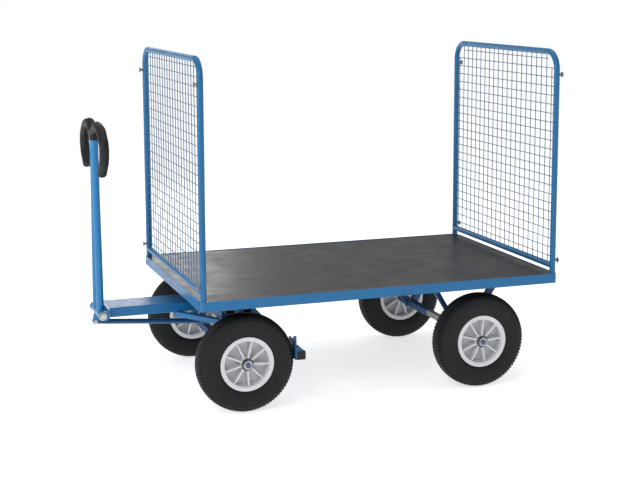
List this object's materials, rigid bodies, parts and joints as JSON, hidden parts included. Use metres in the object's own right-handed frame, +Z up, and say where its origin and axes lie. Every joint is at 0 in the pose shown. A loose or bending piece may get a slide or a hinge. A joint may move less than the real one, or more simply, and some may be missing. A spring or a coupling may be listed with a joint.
{
  "type": "platform_trolley",
  "caption": "Hand-drawn platform trolley with a turntable-steered front axle, spoked pneumatic wheels, lift-out mesh end walls and a pull bar that works a tyre brake",
  "frame": {"origin": "on the floor under the middle of the whole trolley's bounding box", "axes": "+X towards the rear end wall, +Y towards the trolley's right-hand side, +Z up; the pull bar is at -X"},
  "size_m": [1.9034, 1, 1.42],
  "materials": {
    "frame_blue": "satin",
    "wall_blue": "satin",
    "zinc": "satin",
    "bare_steel": "brushed",
    "deck_ply": "matte",
    "tyre": "matte",
    "rim_grey": "matte",
    "grip_black": "matte",
    "cap_black": "matte"
  },
  "bodies": {
    "platform": {"side_rail_left": "frame_blue", "side_rail_right": "frame_blue", "end_rail_front": "frame_blue", "end_rail_rear": "frame_blue", "corner_sockets": "frame_blue", "deck_board": "deck_ply", "cross_members": "frame_blue", "turntable_beams": "frame_blue", "turntable_upper": "bare_steel", "turntable_balls": "bare_steel", "king_pin": "zinc", "rear_axle": "bare_steel", "rear_axle_sleeves": "frame_blue", "rear_axle_collars": "zinc", "rear_struts": "frame_blue"},
    "fore_carriage": {"turntable_lower": "bare_steel", "front_axle": "bare_steel", "front_axle_sleeves": "frame_blue", "front_axle_collars": "zinc", "front_struts": "frame_blue", "drawbar": "frame_blue", "bolsters": "frame_blue", "drawbar_braces": "frame_blue", "hinge_bracket": "frame_blue", "hinge_bolt": "zinc", "return_spring": "bare_steel", "brake_hangers": "frame_blue", "brake_pivot_bolt": "zinc"},
    "pull_bar": {"hinge_sleeve": "frame_blue", "rod_pin_front": "zinc", "pull_bar_leg_left": "frame_blue", "pull_bar_leg_right": "frame_blue", "handle_bow": "frame_blue", "grip_sleeve": "grip_black"},
    "brake_rod": {"brake_rod": "frame_blue", "rod_pin_rear": "zinc"},
    "brake_beam": {"brake_beam": "frame_blue", "brake_beam_caps": "cap_black", "brake_shoes": "frame_blue", "brake_arms": "frame_blue"},
    "wheel_front_left": {"tyre_front_left": "tyre", "rim_front_left": "rim_grey", "bearings_front_left": "bare_steel"},
    "wheel_front_right": {"tyre_front_right": "tyre", "rim_front_right": "rim_grey", "bearings_front_right": "bare_steel"},
    "wheel_rear_left": {"tyre_rear_left": "tyre", "rim_rear_left": "rim_grey", "bearings_rear_left": "bare_steel"},
    "wheel_rear_right": {"tyre_rear_right": "tyre", "rim_rear_right": "rim_grey", "bearings_rear_right": "bare_steel"},
    "end_wall_front": {"end_wall_tube_front": "wall_blue", "end_wall_rail_front": "wall_blue", "end_wall_mesh_front": "wall_blue", "end_wall_studs_front": "zinc"},
    "end_wall_rear": {"end_wall_tube_rear": "wall_blue", "end_wall_rail_rear": "wall_blue", "end_wall_mesh_rear": "wall_blue", "end_wall_studs_rear": "zinc"}
  },
  "joints": [
    {"name": "fore_carriage_steer", "type": "hinge", "parent": "platform", "child": "fore_carriage", "pos_m": [-0.42475, 0, 0.4], "axis": [0, 0, 1], "range_deg": [-40, 40]},
    {"name": "pull_bar_tilt", "type": "hinge", "parent": "fore_carriage", "child": "pull_bar", "pos_m": [-0.92575, 0, 0.35], "axis": [0, -1, 0], "range_deg": [0, 70], "stiffness_Nm_per_rad": 45, "springref_deg": -9.74},
    {"name": "brake_rod_pivot", "type": "hinge", "parent": "pull_bar", "child": "brake_rod", "pos_m": [-0.94175, 0, 0.308], "axis": [0, -1, 0], "range_deg": [-75, 2]},
    {"name": "brake_beam_swing", "type": "hinge", "parent": "fore_carriage", "child": "brake_beam", "pos_m": [-0.30675, 0, 0.352], "axis": [0, -1, 0], "range_deg": [0, 40]},
    {"name": "wheel_front_left_spin", "type": "hinge", "parent": "fore_carriage", "child": "wheel_front_left", "pos_m": [-0.42475, -0.4315, 0.2], "axis": [0, 1, 0], "continuous": true},
    {"name": "wheel_front_right_spin", "type": "hinge", "parent": "fore_carriage", "child": "wheel_front_right", "pos_m": [-0.42475, 0.4315, 0.2], "axis": [0, 1, 0], "continuous": true},
    {"name": "wheel_rear_left_spin", "type": "hinge", "parent": "platform", "child": "wheel_rear_left", "pos_m": [0.60325, -0.4315, 0.2], "axis": [0, 1, 0], "continuous": true},
    {"name": "wheel_rear_right_spin", "type": "hinge", "parent": "platform", "child": "wheel_rear_right", "pos_m": [0.60325, 0.4315, 0.2], "axis": [0, 1, 0], "continuous": true},
    {"name": "end_wall_front_lift", "type": "slide", "parent": "platform", "child": "end_wall_front", "axis": [0, 0, 1], "range_m": [0, 0.08]},
    {"name": "end_wall_rear_lift", "type": "slide", "parent": "platform", "child": "end_wall_rear", "axis": [0, 0, 1], "range_m": [0, 0.08]}
  ],
  "couplings": [
    {"joint": "brake_rod_pivot", "follows": "pull_bar_tilt", "ratio": -0.9448},
    {"joint": "brake_beam_swing", "follows": "pull_bar_tilt", "ratio": 0.538}
  ]
}
